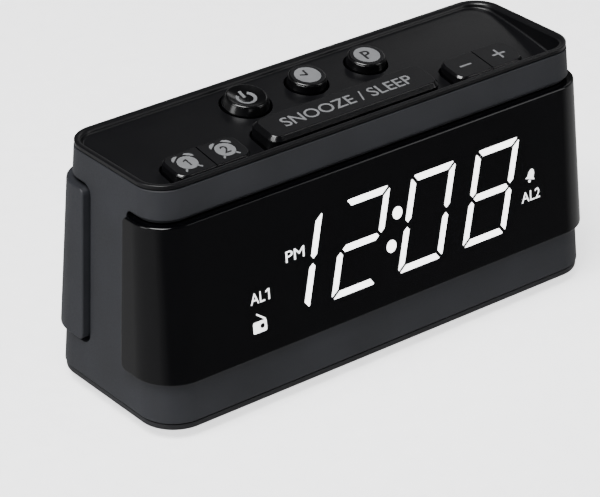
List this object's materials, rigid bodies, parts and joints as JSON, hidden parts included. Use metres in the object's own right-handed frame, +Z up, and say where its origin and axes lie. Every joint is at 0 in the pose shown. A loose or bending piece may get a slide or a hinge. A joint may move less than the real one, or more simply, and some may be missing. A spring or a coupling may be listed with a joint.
{
  "type": "alarm clock radio",
  "caption": "Compact bedside clock radio: drafted case, wrap-round black display window, sloping key deck with a snooze bar, rear speaker cover and a coin-cell door underneath.",
  "frame": {"origin": "middle of the footprint, on the surface that the feet stand on", "axes": "+X to the right seen from the front and along the width, +Y from the display to the rear cover, +Z up"},
  "size_m": [0.1342, 0.048, 0.064],
  "materials": {
    "charcoal_abs": "fine spark-eroded texture, moulded",
    "black_acrylic": "polished, tinted almost black",
    "black_abs": "satin, moulded",
    "grey_abs": "matt, moulded",
    "key_abs": "satin with gloss edges, moulded, light grey pad-printed legends",
    "soft_rubber": "matt",
    "white_diffuser": "milky film",
    "white_abs": "matt, moulded",
    "circuit_board": "green solder mask over glass-epoxy",
    "zinc_steel": "zinc plated",
    "nickel_steel": "nickel plated",
    "ferrite": "pressed ferrite, matt",
    "speaker_paper": "pressed paper pulp",
    "socket_nylon": "moulded nylon",
    "switch_nylon": "moulded nylon",
    "ribbon_film": "laminated flat cable"
  },
  "bodies": {
    "root": {"housing": "charcoal_abs", "front_lens": "black_acrylic", "rear_cover": "charcoal_abs", "top_panel": "black_abs", "base_plate": "grey_abs", "coin_cell": "nickel_steel", "cell_contact": "nickel_steel", "segment_diffuser": "white_diffuser", "display_reflector": "white_abs", "display_board": "circuit_board", "key_board": "circuit_board", "main_board": "circuit_board", "speaker_frame": "zinc_steel", "speaker_cone": "speaker_paper", "speaker_magnet": "ferrite", "dc_socket": "socket_nylon", "antenna_grommet": "soft_rubber", "ribbon_cable": "ribbon_film", "key_board_screw_left": "zinc_steel", "key_board_screw_right": "zinc_steel", "main_board_screw_left": "zinc_steel", "main_board_screw_right": "zinc_steel", "foot_front_left": "soft_rubber", "case_screw_front_left": "zinc_steel", "foot_front_right": "soft_rubber", "case_screw_front_right": "zinc_steel", "foot_rear_left": "soft_rubber", "case_screw_rear_left": "zinc_steel", "foot_rear_right": "soft_rubber", "case_screw_rear_right": "zinc_steel", "power_switch": "switch_nylon", "clock_switch": "switch_nylon", "preset_switch": "switch_nylon", "alarm_1_switch": "switch_nylon", "alarm_2_switch": "switch_nylon", "minus_switch": "switch_nylon", "plus_switch": "switch_nylon", "snooze_switch": "switch_nylon"},
    "power_button": {"power_button": "key_abs", "power_plunger": "switch_nylon"},
    "clock_button": {"clock_button": "key_abs", "clock_plunger": "switch_nylon"},
    "preset_button": {"preset_button": "key_abs", "preset_plunger": "switch_nylon"},
    "alarm_1_key": {"alarm_1_key": "key_abs", "alarm_1_plunger": "switch_nylon"},
    "alarm_2_key": {"alarm_2_key": "key_abs", "alarm_2_plunger": "switch_nylon"},
    "minus_key": {"minus_key": "key_abs", "minus_plunger": "switch_nylon"},
    "plus_key": {"plus_key": "key_abs", "plus_plunger": "switch_nylon"},
    "snooze_bar": {"snooze_bar": "key_abs", "snooze_plunger": "switch_nylon"},
    "battery_door": {"battery_door": "grey_abs"}
  },
  "joints": [
    {"name": "power_press", "type": "slide", "parent": "root", "child": "power_button", "axis": [0, 0.165, -0.9863], "range_m": [0, 0.0007], "stiffness_N_per_m": 1500},
    {"name": "clock_press", "type": "slide", "parent": "root", "child": "clock_button", "axis": [0, 0.165, -0.9863], "range_m": [0, 0.0007], "stiffness_N_per_m": 1500},
    {"name": "preset_press", "type": "slide", "parent": "root", "child": "preset_button", "axis": [0, 0.165, -0.9863], "range_m": [0, 0.0007], "stiffness_N_per_m": 1500},
    {"name": "alarm_1_press", "type": "slide", "parent": "root", "child": "alarm_1_key", "axis": [0, 0.165, -0.9863], "range_m": [0, 0.0007], "stiffness_N_per_m": 1500},
    {"name": "alarm_2_press", "type": "slide", "parent": "root", "child": "alarm_2_key", "axis": [0, 0.165, -0.9863], "range_m": [0, 0.0007], "stiffness_N_per_m": 1500},
    {"name": "minus_press", "type": "slide", "parent": "root", "child": "minus_key", "axis": [0, 0.165, -0.9863], "range_m": [0, 0.0007], "stiffness_N_per_m": 1500},
    {"name": "plus_press", "type": "slide", "parent": "root", "child": "plus_key", "axis": [0, 0.165, -0.9863], "range_m": [0, 0.0007], "stiffness_N_per_m": 1500},
    {"name": "snooze_press", "type": "slide", "parent": "root", "child": "snooze_bar", "axis": [0, 0.165, -0.9863], "range_m": [0, 0.0007], "stiffness_N_per_m": 1500},
    {"name": "battery_door_turn", "type": "hinge", "parent": "root", "child": "battery_door", "pos_m": [0.03, 0, 0.0034], "axis": [0, 0, 1], "range_deg": [0, 45]}
  ]
}
